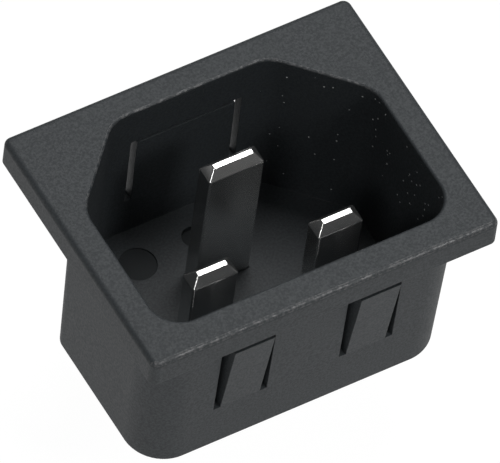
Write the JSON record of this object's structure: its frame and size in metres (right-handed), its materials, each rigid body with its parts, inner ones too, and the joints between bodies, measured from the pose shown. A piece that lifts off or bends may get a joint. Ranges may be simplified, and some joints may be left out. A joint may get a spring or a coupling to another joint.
{
  "type": "panel mains inlet",
  "caption": "Snap-in mains inlet for a panel: rectangular flange, drafted shroud with cut corners and sprung tongues, flat blades in the cavity and push-on tabs behind.",
  "frame": {"origin": "centre of the shroud in the panel seating plane, which is the back face of the flange", "axes": "+Z out of the panel towards the mating plug, +X along the long side, +Y to the earth blade's side"},
  "size_m": [0.036, 0.028, 0.0299],
  "materials": {
    "moulded_housing": "fine matte moulded texture, charcoal",
    "plated_contact": "bright nickel plate"
  },
  "bodies": {
    "root": {"housing": "moulded_housing", "line_pin": "plated_contact", "neutral_pin": "plated_contact", "earth_pin": "plated_contact"}
  },
  "joints": []
}
